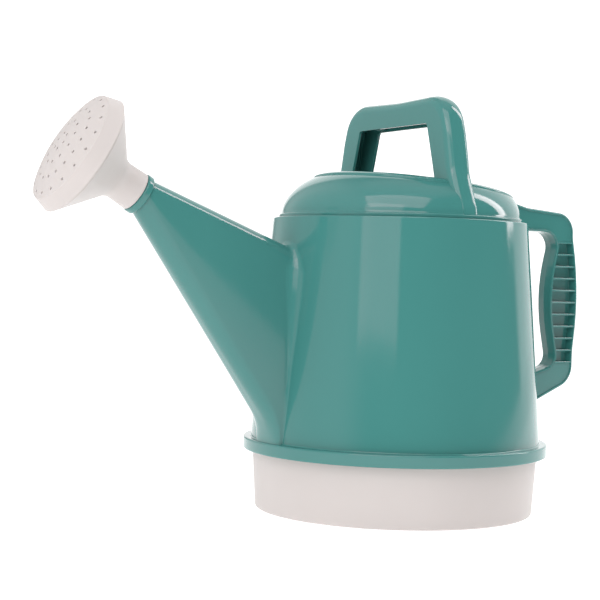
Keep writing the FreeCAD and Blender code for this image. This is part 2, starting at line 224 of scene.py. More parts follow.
def resample(points, count):
    """count points evenly spaced along an open polyline, its two ends included."""
    p = np.array([tuple(q) for q in points])
    run = np.concatenate([[0], np.cumsum(np.linalg.norm(np.diff(p, axis=0), axis=1))])
    at = np.linspace(0, run[-1], count)
    return np.stack([np.interp(at, run, p[:, k]) for k in range(p.shape[1])], axis=1)


def split_long(points, longest, closed=True):
    """The same outline, with its long straight runs cut into steps."""
    out = []
    pairs = list(zip(points, points[1:] + points[:1] if closed else points[1:]))
    for a, b in pairs:
        steps = max(1, math.ceil((b - a).length / longest))
        out += [a.lerp(b, k / steps) for k in range(steps)]
    if not closed:
        out.append(points[-1])
    return out


# ---- meshes ----
class Shape:
    """Vertices in millimetres and faces, gathered before a mesh is made of them."""

    def __init__(self):
        self.verts = []
        self.faces = []

    def add(self, points):
        """Adds points and returns the list of their numbers."""
        start = len(self.verts)
        self.verts += [tuple(p) for p in points]
        return list(range(start, len(self.verts)))

    def bridge(self, a, b, closed=True):
        """Quads between two rings of vertices, or triangles where one ring is a single point."""
        n = max(len(a), len(b))
        for k in range(n if closed else n - 1):
            m = (k + 1) % n
            face = [a[k % len(a)], a[m % len(a)], b[m % len(b)], b[k % len(b)]]
            face = list(dict.fromkeys(face))
            if len(face) > 2:
                self.faces.append(face)

    def skin(self, rings, loop=False):
        """Surface through rings of points. With loop, the last ring joins the first."""
        rows = [self.add(ring) for ring in rings]
        for a, b in zip(rows, rows[1:] + rows[:1] if loop else rows[1:]):
            if len(a) > 1 or len(b) > 1:
                self.bridge(a, b)
        return rows


def new_object(name, shape):
    """Blender object of a shape, with doubled points joined and faces turned outwards."""
    mesh = bpy.data.meshes.new(name)
    mesh.from_pydata([(x * MM, y * MM, z * MM) for x, y, z in shape.verts], [], shape.faces)
    bm = bmesh.new()
    bm.from_mesh(mesh)
    bmesh.ops.remove_doubles(bm, verts=bm.verts, dist=SAME_POINT)
    bmesh.ops.recalc_face_normals(bm, faces=bm.faces)
    bm.to_mesh(mesh)
    bm.free()
    obj = bpy.data.objects.new(name, mesh)
    bpy.context.scene.collection.objects.link(obj)
    return obj


def finish_shading(obj):
    """Smooth shading between sharp edges, with normals that follow the larger faces."""
    obj.data.shade_smooth()
    obj.data.set_sharp_from_angle(angle=SHARP)
    weighted = obj.modifiers.new("weighted_normals", "WEIGHTED_NORMAL")
    weighted.keep_sharp = True
    weighted.weight = 60


def make_piece(name, shape, finish, nodes, body):
    """Piece of the can, which stands for CAD nodes and rides on their body."""
    obj = new_object(name, shape)
    material, slot_name = finish
    obj.data.materials.append(material)
    finish_shading(obj)
    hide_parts(*nodes)
    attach(obj, body)
    return obj


def cut(obj, cutter):
    """Takes the cutter out of obj for good and deletes the cutter."""
    obj.modifiers.remove(obj.modifiers["weighted_normals"])
    modifier = obj.modifiers.new("cut", "BOOLEAN")
    modifier.operation = "DIFFERENCE"
    modifier.solver = "EXACT"
    modifier.object = cutter
    depsgraph = bpy.context.evaluated_depsgraph_get()
    result = bpy.data.meshes.new_from_object(obj.evaluated_get(depsgraph))
    obj.modifiers.remove(modifier)
    uncut_mesh, cutter_mesh = obj.data, cutter.data
    obj.data = result
    result.name = obj.name
    bpy.data.meshes.remove(uncut_mesh)
    bpy.data.objects.remove(cutter)
    bpy.data.meshes.remove(cutter_mesh)
    finish_shading(obj)


def can_point(r, z, angle):
    """Point at a radius, a height and an angle round the can's axis."""
    return (r * math.cos(angle), r * math.sin(angle), z)


def rose_point(r, s, angle):
    """Point at a radius, a distance along the rose's axis and an angle round it."""
    return ROSE_BASE + ROSE_AXIS * s + ROSE_UP * (r * math.cos(angle)) + ACROSS * (r * math.sin(angle))


def lathe(profile, place, segments):
    """Closed solid of revolution from a closed outline of (radius, height) points."""
    shape = Shape()
    rings = []
    for r, s in profile:
        if abs(r) < 1e-6:
            rings.append([place(0, s, 0)])
        else:
            rings.append([place(r, s, TAU * k / segments) for k in range(segments)])
    shape.skin(rings, loop=True)
    return shape


def shell_radius(z):
    """Radius of the body's outer cone at a height."""
    share = (z - FLANGE_TOP_Z) / (SHELL_TOP_Z - FLANGE_TOP_Z)
    return SHELL_R_BOTTOM + (SHELL_R_TOP - SHELL_R_BOTTOM) * share


# ---- base, body and cover ----
def base_pan():
    """Pan that closes the bottom, with the lip that plugs into the body."""
    inner = BASE_R_TOP - BASE_WALL
    lip_inner = LIP_R - WALL
    profile = rounded_outline([
        (0, 0, 0),
        (BASE_R_BOTTOM - 6, 0, 0),
        (BASE_R_BOTTOM, 0.6, 2.2),
        (BASE_R_TOP, FLANGE_BOTTOM_Z, 0.3),
        (LIP_R, FLANGE_BOTTOM_Z, 0),
        (LIP_R, LIP_TOP_Z, 0.8),
        (lip_inner, LIP_TOP_Z, 0.8),
        (lip_inner, FLANGE_BOTTOM_Z - BASE_WALL, 0),
        (inner - BASE_WALL, FLANGE_BOTTOM_Z - 2 * BASE_WALL, 2.0),
        (BASE_R_BOTTOM - BASE_WALL, BASE_WALL, 4.0),
        (0, BASE_WALL, 0),
    ])
    return lathe(split_long(profile, CAN_STEP), can_point, CAN_SEGMENTS)


def body_shell():
    """Wall of the can, from the flange that takes the pan's lip to the ledge under the cover."""
    seat_gap = 0.2
    seat_r = LIP_R + seat_gap
    seat_top = LIP_TOP_Z + seat_gap
    under_ledge = SHELL_TOP_Z - WALL
    profile = rounded_outline([
        (seat_r, FLANGE_BOTTOM_Z, 0.3),
        (FLANGE_R, FLANGE_BOTTOM_Z, 1.5),
        (FLANGE_R, FLANGE_TOP_Z, 1.5),
        (SHELL_R_BOTTOM, FLANGE_TOP_Z, 1.2),
        (SHELL_R_TOP, SHELL_TOP_Z, 1.3),
        (LEDGE_R, SHELL_TOP_Z, 0.4),
        (LEDGE_R, under_ledge, 0.4),
        (shell_radius(under_ledge) - WALL, under_ledge, 1.5),
        (shell_radius(seat_top) - WALL, seat_top + WALL, 1.0),
        (seat_r, seat_top, 0),
    ])
    return lathe(split_long(profile, CAN_STEP), can_point, CAN_SEGMENTS)


def crest_point(r, height, angle):
    """Point over the tilted crest ring: a radius about its centre and a height above it."""
    forward = Vector((math.cos(CREST_TILT), 0, math.sin(CREST_TILT)))
    normal = Vector((-math.sin(CREST_TILT), 0, math.cos(CREST_TILT)))
    centre = Vector((CREST_X, 0, CREST_Z))
    return centre + forward * (r * math.cos(angle)) + ACROSS * (r * math.sin(angle)) + normal * height


def shoulder_ring(share, inset, segments):
    """Ring of the domed shoulder: share 0 is its foot and 1 the crest."""
    angle = SHOULDER_ANGLE * share
    inward = (1 - math.cos(angle)) / (1 - math.cos(SHOULDER_ANGLE))
    rise = math.sin(angle) / math.sin(SHOULDER_ANGLE)
    tilt = CREST_TILT * rise
    radius = DOME_R + (CREST_R - DOME_R) * inward - inset
    height = DOME_FOOT_Z + (CREST_Z - DOME_FOOT_Z) * rise - inset * inward
    forward = Vector((math.cos(tilt), 0, math.sin(tilt)))
    centre = Vector((CREST_X * inward, 0, height))
    ring = []
    for k in range(segments):
        a = TAU * k / segments
        ring.append(centre + forward * (radius * math.cos(a)) + ACROSS * (radius * math.sin(a)))
    return ring


def top_cover():
    """Band on the ledge, domed shoulder, rim bead, deck and mouth as one closed skin."""
    outer_steps = 22
    inner_steps = 10

    def level(points, place):
        """A ring through each point of an outline."""
        angles = [TAU * k / CAN_SEGMENTS for k in range(CAN_SEGMENTS)]
        return [[place(r, s, angle) for angle in angles] for r, s in points]

    band = rounded_outline([
        (LEDGE_R - 1.0, SHELL_TOP_Z, 0),
        (COVER_BAND_R, SHELL_TOP_Z + 0.05, 0.5),
        (COVER_BAND_R, COVER_BAND_TOP_Z - 0.2, 1.1),
        (DOME_R + 0.35, COVER_BAND_TOP_Z - 0.3, 0.35),
        (DOME_R - 0.15, COVER_BAND_TOP_Z + 1.2, 0),
    ], closed=False)
    bead = rounded_outline([
        (CREST_R - 0.15, -0.3, 0),
        (CREST_R - 0.4, 0.1, 0.15),
        (CREST_R - 0.5, 1.5, 1.0),
        (CREST_R - 5.0, RIM_HEIGHT + 0.25, 9.0),
        (CREST_R - 11.0, RIM_HEIGHT - 0.2, 12.0),
        (CREST_R - 16.0, 1.4, 4.0),
        (MOUTH_R + 0.4, 1.0, 0.8),
        (MOUTH_R, -WALL, 0.8),
        (CREST_R - 2.5, -WALL, 0),
    ], closed=False, step=math.radians(6))
    rings = level(band, can_point)
    rings += [shoulder_ring(k / outer_steps, 0.0, CAN_SEGMENTS) for k in range(2, outer_steps)]
    rings += level(split_long(bead, BEAD_STEP, closed=False), crest_point)
    rings += [shoulder_ring(k / inner_steps, WALL, CAN_SEGMENTS) for k in reversed(range(inner_steps))]
    shape = Shape()
    shape.skin(rings, loop=True)
    return shape


# ---- top handle ----
def handle_paths():
    """Outer and inner outline of the top handle in the YZ plane, point for point."""
    foot_z = COVER_BAND_TOP_Z - 2.0
    side = [(101.6, foot_z, 0), (100.4, 250.5, 22.0), (95.5, 260.5, 25.0), (86.4, 279.0, 40.0),
            (79.6, 311.0, 60.0), (69.5, 342.9, 30.0)]
    sag = (0.0, 340.9, 300.0)
    leg = [Vector(side[0][:2])]
    for before, corner, after in zip(side, side[1:], side[2:]):
        leg += corner_arc(before, corner, after, corner[2], math.radians(2))
    turn = corner_arc(side[-2], side[-1], sag, side[-1][2], math.radians(4))
    leg.append(turn[0])
    mirrored = (-side[-1][0], side[-1][1])
    bar = [turn[-1]] + corner_arc(side[-1], sag, mirrored, sag[2], math.radians(1))
    bar.append(Vector((-turn[-1].x, turn[-1].y)))
    half_low = WINDOW_HALF_TOP + (WINDOW_TOP_Z - foot_z) * WINDOW_SLOPE
    low = (half_low, foot_z)
    top = (WINDOW_HALF_TOP, WINDOW_TOP_Z)
    across = (-WINDOW_HALF_TOP, WINDOW_TOP_Z)
    in_turn = corner_arc(low, top, across, WINDOW_ROUND, math.radians(6))
    in_leg = [Vector(low), in_turn[0]]
    in_bar = [in_turn[-1], Vector((-in_turn[-1].x, in_turn[-1].y))]
    counts = (44, 22, 48)      # points on a leg, a corner and the bar
    outer = [resample(p, n) for p, n in zip((leg, turn, bar), counts)]
    inner = [resample(p, n) for p, n in zip((in_leg, in_turn, in_bar), counts)]

    def whole(parts):
        """The first leg, its corner and the bar, and then the mirrored corner and leg."""
        first = np.concatenate([parts[0], parts[1][1:], parts[2][1:]])
        flip = np.array([-1, 1])
        rest = np.concatenate([parts[1][:-1][::-1] * flip, parts[0][:-1][::-1] * flip])
        return np.concatenate([first, rest])

    return whole(outer), whole(inner)


def handle_section(depth, half):
    """Channel section of the top handle as (x, distance in from the outer outline)."""
    inner_half = half - HANDLE_SKIN
    roof = HANDLE_SKIN + HANDLE_CROWN
    return [
        (half, depth, 0.5),
        (half, HANDLE_CROWN, HANDLE_ROUND),
        (0, -HANDLE_APEX, HANDLE_TOP_R),
        (-half, HANDLE_CROWN, HANDLE_ROUND),
        (-half, depth, 0.5),
        (-inner_half, depth, 0.5),
        (-inner_half, roof, 1.2),
        (inner_half, roof, 1.2),
        (inner_half, depth, 0.5),
    ]


def top_handle():
    """Channel swept between the outer and inner outline of the handle."""
    outer, inner = handle_paths()
    rings = []
    for o, i in zip(outer, inner):
        depth = float(np.linalg.norm(i - o))
        inward = (i - o) / depth
        foot = min(1.0, max(0.0, (HANDLE_FOOT_TOP_Z - o[1]) / HANDLE_FOOT_FADE))
        half = HANDLE_HALF_T + (HANDLE_FOOT_HALF_T - HANDLE_HALF_T) * foot
        section = rounded_outline(handle_section(depth, half))
        rings.append([(x + HANDLE_FOOT_X * foot, *(o + inward * t)) for x, t in section])
    shape = Shape()
    rows = shape.skin(rings)
    shape.faces += [rows[0], rows[-1]]
    return shape


def cross_rib(side):
    """Thin rib across the channel of the crossbar."""
    half = HANDLE_HALF_T - HANDLE_SKIN + 0.6
    low, high = WINDOW_TOP_Z + 0.7, WINDOW_TOP_Z + 15.0
    y0 = side * CROSS_RIB_Y - CROSS_RIB_T / 2
    y1 = side * CROSS_RIB_Y + CROSS_RIB_T / 2
    outline = rounded_outline([(y0, low, 0.5), (y1, low, 0.5), (y1, high, 0), (y0, high, 0)])
    shape = Shape()
    shape.faces += shape.skin([[(x, y, z) for y, z in outline] for x in (-half, half)])
    return shape


def dome_filled(inset):
    """Closed block inside the cover, to cut the feet of the top handle."""
    segments = 160
    steps = 14
    bottom_z = 200.0
    rings = [[(0, 0, bottom_z)]]
    rings.append([can_point(DOME_R - inset, bottom_z, TAU * k / segments) for k in range(segments)])
    rings += [shoulder_ring(k / steps, inset, segments) for k in range(steps + 1)]
    middle = sum((Vector(p) for p in rings[-1]), Vector()) / segments
    rings.append([middle])
    shape = Shape()
    shape.skin(rings)
    return shape


# ---- rear handle ----
# Corners of its outer outline and of its opening, as (x, z, radius).
REAR_TOP = [(-88.0, 262.2, 0), (-113.0, 262.6, 15.0), (-129.0, 258.7, 20.0), (-181.8, 254.4, 17.5)]
REAR_BACK = [(-181.5, 234.0, 30.0), (-191.5, 186.0, 260.0), (-184.5, 134.0, 100.0)]
REAR_LOW = [(-184.6, 106.9, 20.0), (-88.0, 63.6, 0)]
HOLE_TOP = [(-88.0, 238.0, 0), (-162.6, 238.0, 13.0)]
HOLE_BACK = [(-162.4, 223.0, 8.0), (-152.3, 184.0, 150.0)]
HOLE_LOW = [(-165.2, 121.2, 11.0), (-88.0, 99.1, 0)]
X_AXIS, Z_AXIS = 0, 1      # places of the two coordinates in such a corner
ARM_START_X = -92.0        # its two arms run from here, inside the can,
ARM_END_X = -150.0         # to here, where they bend into the grip


def cross_at(points, axis, value):
    """Index and point where an outline first crosses a coordinate."""
    for k in range(len(points) - 1):
        a, b = points[k], points[k + 1]
        if (a[axis] - value) * (b[axis] - value) <= 0 and a[axis] != b[axis]:
            return k, a.lerp(b, (value - a[axis]) / (b[axis] - a[axis]))
    raise ValueError("the outline doesn't reach %g" % value)


def rear_wall_x(z, y):
    """Where the rear handle's arms end, inside the wall of the body or the cover."""
    centre_x = 0.0
    if z < SHELL_TOP_Z:
        r = shell_radius(z)
    elif z < COVER_BAND_TOP_Z:
        r = COVER_BAND_R
    else:
        rear_crest_z = CREST_Z - CREST_R * math.sin(CREST_TILT)
        rise = min(1.0, (z - DOME_FOOT_Z) / (rear_crest_z - DOME_FOOT_Z))
        angle = math.asin(rise * math.sin(SHOULDER_ANGLE))
        inward = (1 - math.cos(angle)) / (1 - math.cos(SHOULDER_ANGLE))
        r = DOME_R + (CREST_R - DOME_R) * inward
        centre_x = CREST_X * inward
    r -= SUNK
    return centre_x - math.sqrt(r * r - y * y)


def run_into_wall(ring, beyond):
    """The ring moved along the arm, towards a ring beyond the wall, until it ends in the wall."""
    ended = []
    for (x, y, z), (far_x, _, far_z) in zip(ring, beyond):
        end_x, end_z = x, z
        for _ in range(6):
            end_x = rear_wall_x(end_z, y)
            end_z = z + (far_z - z) * (end_x - x) / (far_x - x)
        ended.append((end_x, y, end_z))
    return ended


def rib_levels():
    """Heights down the ribs and pockets of the grip, each with the recess there."""
    half = RIB_T / 2
    levels = []
    for i in range(RIB_COUNT):
        z = RIB_TOP_Z - i * RIB_PITCH
        if i == 0:
            levels.append((z + half + 0.2, ARM_RECESS))
        else:
            levels.append((z + half + RIB_DRAFT, POCKET_DEPTH))
        levels += [(z + half - way_in, recess) for way_in, recess in RIB_EDGE]
        levels += [(z - half + way_in, recess) for way_in, recess in reversed(RIB_EDGE)]
        if i < RIB_COUNT - 1:
            levels.append((z - half - RIB_DRAFT, POCKET_DEPTH))
            levels += [(z - RIB_PITCH * k / 4, POCKET_DEPTH) for k in (1, 2, 3)]
        else:
            levels.append((z - half - 0.2, ARM_RECESS))
    return levels


def rear_stations():
    """Pairs of outer and inner points along the rear handle, with the recess at each."""
    outer = rounded_outline(REAR_TOP + REAR_BACK + REAR_LOW, closed=False, step=math.radians(3))
    inner = rounded_outline(HOLE_TOP + HOLE_BACK + HOLE_LOW, closed=False, step=math.radians(4))
    grip_top = RIB_TOP_Z + RIB_T / 2 + 1.8
    grip_low = RIB_TOP_Z - (RIB_COUNT - 1) * RIB_PITCH - 2.0
    arm_count, bend_count = 26, 30
    stations = []

    def between(path, a_axis, a, b_axis, b, start):
        """Part of a path from one crossing to the next, and where it ends."""
        i, p = cross_at(path[start:], a_axis, a)
        j, q = cross_at(path[start + i:], b_axis, b)
        end = start + i + j
        return [p] + path[start + i + 1:end + 1] + [q], end

    def stretch(a_axis, a, b_axis, b, count, at):
        """Adds stations along a part of both outlines, and returns where it ends on them."""
        out, at_out = between(outer, a_axis, a, b_axis, b, at[0])
        inn, at_in = between(inner, a_axis, a, b_axis, b, at[1])
        for o, i in zip(resample(out, count), resample(inn, count)):
            stations.append((o, i, ARM_RECESS))
        return at_out, at_in

    at = stretch(X_AXIS, ARM_START_X, X_AXIS, ARM_END_X, arm_count, (0, 0))
    at = stretch(X_AXIS, ARM_END_X, Z_AXIS, grip_top, bend_count, at)
    for z, recess in rib_levels():
        o = cross_at(outer[at[0]:], Z_AXIS, z)[1]
        i = cross_at(inner[at[1]:], Z_AXIS, z)[1]
        stations.append((np.array(o), np.array(i), recess))
    skip_out = at[0] + cross_at(outer[at[0]:], Z_AXIS, grip_low + 1)[0]
    skip_in = at[1] + cross_at(inner[at[1]:], Z_AXIS, grip_low + 1)[0]
    at = stretch(Z_AXIS, grip_low, X_AXIS, ARM_END_X, bend_count, (skip_out, skip_in))
    stretch(X_AXIS, ARM_END_X, X_AXIS, ARM_START_X, arm_count, at)
    return stations


def rear_section(depth, recess):
    """Section of the rear handle as (y, distance in from the outer outline)."""
    half = GRIP_HALF_T
    lip = GRIP_LIP
    ridge = 0.7
    steps = 8
    low, high = lip + 0.25 * recess, depth - lip - 0.25 * recess
    side = [
        (half, 0.0, 2.0),
        (half, lip, 0.3),
        (half - recess, low, 0.25),
        *((half - recess, low + (high - low) * k / steps, 0) for k in range(1, steps)),
        (half - recess, high, 0.25),
        (half, depth - lip, 0.3),
        (half, depth - ridge, 1.8),
    ]
    mirrored = [(-y, t, radius) for y, t, radius in reversed(side)]
    return side + [(0.0, depth, 3.0)] + mirrored


def rear_handle():
    """Handle with a ribbed grip, whose two arms end inside the can's wall."""
    rings = []
    for o, i, recess in rear_stations():
        depth = float(np.linalg.norm(i - o))
        inward = (i - o) / depth
        section = rounded_outline(rear_section(depth, recess), step=math.radians(15))
        ring = []
        for y, t in section:
            x, z = o + inward * t
            ring.append((x, y, z))
        rings.append(ring)

    def clear_of_can(ring):
        """True where a whole ring is outside the can's wall."""
        clearance = 0.5
        wall_x = min(rear_wall_x(z, 0.0) for _, _, z in ring)
        return max(x for x, _, _ in ring) < wall_x - clearance

    outside = [ring for ring in rings if clear_of_can(ring)]
    top_end = run_into_wall(outside[0], rings[0])
    low_end = run_into_wall(outside[-1], rings[-1])
    shape = Shape()
    rows = shape.skin([top_end] + outside + [low_end])
    for row in (rows[0], rows[-1]):
        for k in range((len(row) - 1) // 2):
            face = [row[k], row[k + 1], row[-2 - k], row[-1 - k]]
            shape.faces.append(list(dict.fromkeys(face)))
    return shape


# ---- spout ----
def section_ring(centre, up, height, width, radius, crown=0.0):
    """Rounded rectangle with as many points on each stretch whatever its size.

    The crown bulges its flat sides.
    """
    arc_up, arc_across = height / 2 - radius, width / 2 - radius
    arc_steps, side_steps, end_steps = 12, 30, 6
    points = []
    for quarter, (u, v) in enumerate(((1, 1), (-1, 1), (-1, -1), (1, -1))):
        for k in range(arc_steps):
            angle = math.pi / 2 * (quarter + k / arc_steps)
            a = u * arc_up + radius * math.cos(angle)
            b = v * arc_across + radius * math.sin(angle)
            points.append((a, b))
        if quarter % 2 == 0:
            runs = [1 - 2 * k / side_steps for k in range(side_steps)]
            points += [(u * arc_up * run, v * width / 2) for run in runs]
        else:
            runs = [1 - 2 * k / end_steps for k in range(end_steps)]
            points += [(u * height / 2, v * arc_across * run) for run in runs]
    ring = []
    for a, b in points:
        bulge = crown * max(0.0, 1 - (2 * a / height) ** 2) * (1 if b > 0 else -1)
        if abs(b) > width / 2 - radius:
            b += bulge
        ring.append(centre + up * a + ACROSS * b)
    return ring


def spout_rulings(inset, crown):
    """Root and tip ring of the spout's outer or inner surface."""
    up = (SPOUT_ROOT_TOP - SPOUT_ROOT_BOTTOM).normalized()
    height = (SPOUT_ROOT_TOP - SPOUT_ROOT_BOTTOM).length - 2 * inset
    middle = (SPOUT_ROOT_TOP + SPOUT_ROOT_BOTTOM) / 2
    root = section_ring(middle, up, height, SPOUT_ROOT_WIDTH - 2 * inset, SPOUT_ROOT_ROUND - inset, crown)
    tip_size = 2 * (SPOUT_TIP_R - inset)
    tip_centre = ROSE_BASE - ROSE_AXIS * COLLAR_T
    tip = section_ring(tip_centre, ROSE_UP, tip_size, tip_size, tip_size / 2 - 0.3)
    return root, tip


def meet_cone(start, end, sunk):
    """Share of the way from start to end where the line leaves the body's cone, sunk by some depth."""
    halvings = 40
    low, high = 0.0, 1.0
    for _ in range(halvings):
        mid = (low + high) / 2
        p = start.lerp(end, mid)
        if math.hypot(p.x, p.y) < shell_radius(p.z) - sunk:
            low = mid
        else:
            high = mid
    return low


def cone_normal(p):
    """Direction straight out of the body's cone at a point."""
    slope = (SHELL_R_BOTTOM - SHELL_R_TOP) / (SHELL_TOP_Z - FLANGE_TOP_Z)
    r = math.hypot(p.x, p.y)
    return Vector((p.x / r, p.y / r, slope)).normalized()


def onto_cone(p, sunk):
    """The point moved level onto the body's cone, sunk by some depth."""
    r = math.hypot(p.x, p.y)
    share = (shell_radius(p.z) - sunk) / r
    return Vector((p.x * share, p.y * share, p.z))


def fillet_line(toe, bend, start):
    """Curve from toe to start, drawn towards bend. It is a circle's arc if both are as far from bend."""
    weight = math.sin((start - bend).angle(toe - bend) / 2)
    line = []
    for j in range(FILLET_STEPS + 1):
        t = 1 - j / FILLET_STEPS
        w0, w1, w2 = (1 - t) ** 2, 2 * t * (1 - t) * weight, t ** 2
        line.append((start * w0 + bend * w1 + toe * w2) / (w0 + w1 + w2))
    return line


def water_way():
    """Rings of the spout's inside, from its tip back into the body's wall."""
    ways_out = [1 - j / WATER_WAY_STEPS for j in range(WATER_WAY_STEPS + 1)]
    lines = []
    for a, b in zip(*spout_rulings(SPOUT_WALL, 0.0)):
        share = meet_cone(a, b, SUNK)
        lines.append([a.lerp(b, share + (1 - share) * way_out) for way_out in ways_out])
    return list(zip(*lines))


def spout():
    """Spout with a soft root that runs out onto the body, and its water way."""
    root, tip = spout_rulings(0.0, SPOUT_SIDE_CROWN)
    up = SPOUT_ROOT_TOP - SPOUT_ROOT_BOTTOM
    middle = Vector((shell_radius(SPOUT_ROOT_MIDDLE_Z), 0, SPOUT_ROOT_MIDDLE_Z))

    def tapered(k, share):
        """Point at a share of the way from the root to the tip, wider below near the root."""
        level = (root[k] - SPOUT_ROOT_BOTTOM).dot(up) / up.length_squared - 0.5
        p = root[k].lerp(tip[k], share)
        p.y *= 1 - SPOUT_ROOT_TAPER * level * (1 - share) ** 3
        return p

    shares = [meet_cone(a, b, 0.0) for a, b in zip(root, tip)]
    hits = [onto_cone(tapered(k, share), 0.0) for k, share in enumerate(shares)]
    lowest = min(hit.z for hit in hits)
    lines = []
    for k, hit in enumerate(hits):
        # The spout leaves the wall here along run, and away lies in the wall, square to its edge.
        run = (tapered(k, shares[k] + 0.1) - hit).normalized()
        edge = (hits[(k + 1) % len(hits)] - hits[k - 1]).normalized()
        away = edge.cross(cone_normal(hit)).normalized()
        if away.dot(hit - middle) < 0:
            away = -away
        # Both legs of the corner between them are as long as a fillet of this height's radius needs.
        radius = float(np.interp(hit.z, FILLET_Z, FILLET_R))
        reach = min(radius / math.tan(run.angle(away) / 2), FILLET_REACH)
        # Low down, the corner goes over to the foot's: far out along the spout, and down to the flange.
        as_foot = float(np.interp(hit.z, FOOT_Z, (1.0, 0.0)))
        up_the_foot = (hit.z - lowest) / (FOOT_Z[0] - lowest)
        ridge = FOOT_RIDGE * max(0.0, 1 - up_the_foot ** 2)
        reach_out = reach + (FOOT_REACH - reach) * as_foot
        start_share = shares[k] + (1 - shares[k]) * reach_out / (tip[k] - hit).length
        bend = onto_cone(tapered(k, meet_cone(root[k], tip[k], -ridge)), -ridge)
        below = Vector((hit.x, hit.y, FLANGE_TOP_Z - 0.3))
        toe = onto_cone((hit + away * reach).lerp(below, as_foot), FILLET_INSET - ridge)
        line = fillet_line(toe, bend, tapered(k, start_share))
        for j in range(SPOUT_SPANS):
            line.append(tapered(k, start_share + (1 - start_share) * (j + 1) / SPOUT_SPANS))
        lines.append(line)
    outside = list(zip(*lines))
    buried = [onto_cone(p, SUNK) for p in outside[0]]
    shape = Shape()
    shape.skin(outside + water_way() + [buried], loop=True)
    return shape


def water_way_cutter():
    """Block through the body wall behind the spout."""
    root, tip = spout_rulings(SPOUT_WALL - 0.3, 0.0)
    far = [a.lerp(b, 0.35) for a, b in zip(root, tip)]
    shape = Shape()
    shape.faces += shape.skin([root, far])
    return shape


def spout_nozzle():
    """Collar at the spout's tip and the tube that the rose pushes on."""
    profile = rounded_outline([
        (NOZZLE_BORE_R, -COLLAR_T - 1.0, 0.3),
        (SPOUT_TIP_R - 0.4, -COLLAR_T - 1.0, 0),
        (SPOUT_TIP_R + 0.1, -COLLAR_T - 0.2, 0.8),
        (COLLAR_R, -COLLAR_T + 0.6, 1.6),
        (COLLAR_R, 0, 1.6),
        (NOZZLE_R, 0, 0.5),
        (NOZZLE_R, NOZZLE_LENGTH, 1.2),
        (NOZZLE_BORE_R, NOZZLE_LENGTH, 0.5),
    ])
    return lathe(split_long(profile, ROSE_STEP), rose_point, NOZZLE_SEGMENTS)


# ---- rose ----
def flare_line(offset, radius):
    """Distance along the axis at which the flare's cone reaches a radius."""
    round_r = FLARE_ROUND + offset
    centre_r = ROSE_NECK_R + FLARE_ROUND
    end_r = centre_r - round_r * math.cos(FLARE_ANGLE)
    end_s = ROSE_NECK_LENGTH + round_r * math.sin(FLARE_ANGLE)
    return end_s + (radius - end_r) / math.tan(FLARE_ANGLE)


def flare_corner(offset):
    """Where the neck's line and the flare's line cross, with the radius of the round there."""
    radius = ROSE_NECK_R - offset
    return radius, flare_line(offset, radius), FLARE_ROUND + offset


def rose_funnel():
    """Neck, flare and rim flange of the rose."""
    gap = 0.3
    seat_r = ROSE_RIM_R - 1.1
    rim_inner = seat_r - ROSE_WALL
    lip_s = flare_line(0, ROSE_LIP_R)
    flange_back = ROSE_RIM_FRONT - 2.0
    profile = rounded_outline([
        (ROSE_NECK_BORE_R, gap, 0.4),
        (ROSE_NECK_R_BACK, gap, 0.6),
        flare_corner(0),
        (ROSE_LIP_R, lip_s, 0.3),
        (ROSE_LIP_R, lip_s + 1.5, 0.3),
        (seat_r, lip_s + 1.8, 0),
        (seat_r, flange_back, 0),
        (ROSE_RIM_R, flange_back, 0.3),
        (ROSE_RIM_R, ROSE_RIM_FRONT, 0.3),
        (rim_inner, ROSE_RIM_FRONT, 0.3),
        (rim_inner, flare_line(ROSE_WALL, rim_inner), 2.0),
        (ROSE_NECK_BORE_R, flare_line(ROSE_WALL, ROSE_NECK_BORE_R), 8.0),
    ], step=math.radians(5))
    return lathe(split_long(profile, ROSE_STEP), rose_point, ROSE_SEGMENTS)


def dome_height(r, edge_r, bulge):
    """Height of a spherical cap above its edge, at a radius."""
    sphere = (edge_r ** 2 + bulge ** 2) / (2 * bulge)
    return math.sqrt(sphere ** 2 - r ** 2) - (sphere - bulge)


def circle(x, y, radius, count):
    """Points evenly spaced round a circle."""
    angles = [TAU * k / count for k in range(count)]
    return [(x + radius * math.cos(angle), y + radius * math.sin(angle)) for angle in angles]


def face_plan(edge_r):
    """Flat triangulation of the spray face: its points, triangles, and loops round its edge and holes."""
    hole_sides = 18
    guard_r = HOLE_R * 1.6             # no spare point is nearer to a hole's middle than this
    ring_gap, point_gap = 1.7, 2.0     # between the rings of spare points, and along a ring
    centres = []
    for ring_r, count, first in HOLE_RINGS:
        for i in range(count):
            angle = math.radians(first) + TAU * i / count
            centres.append((ring_r * math.cos(angle), ring_r * math.sin(angle)))
    held = np.array(centres)

    def to_nearest_hole(x, y):
        return np.hypot(held[:, 0] - x, held[:, 1] - y).min()

    points = circle(0, 0, edge_r, ROSE_SEGMENTS)
    loops = [list(range(ROSE_SEGMENTS))]
    for x, y in centres:
        loops.append(list(range(len(points), len(points) + hole_sides)))
        points += circle(x, y, HOLE_R, hole_sides)
    spare = []
    for x, y in centres:
        spare += circle(x, y, guard_r, hole_sides)
    radius = 0.0
    while radius < edge_r - 1.2:
        spare += circle(0, 0, radius, max(1, round(TAU * radius / point_gap)))
        radius += ring_gap
    for x, y in spare:
        if to_nearest_hole(x, y) > guard_r - 1e-6 and math.hypot(x, y) < edge_r - 0.5:
            points.append((x, y))
    edges = [(loop[k], loop[(k + 1) % len(loop)]) for loop in loops for k in range(len(loop))]
    flat, _, triangles = delaunay_2d_cdt([Vector(p) for p in points], edges, [], 1, 1e-6)[:3]
    kept = []
    for tri in triangles:
        middle = sum((flat[i] for i in tri), Vector((0, 0))) / len(tri)
        if to_nearest_hole(middle.x, middle.y) > HOLE_R * 0.97:
            kept.append(tuple(tri))
    return [tuple(p) for p in flat], kept, loops


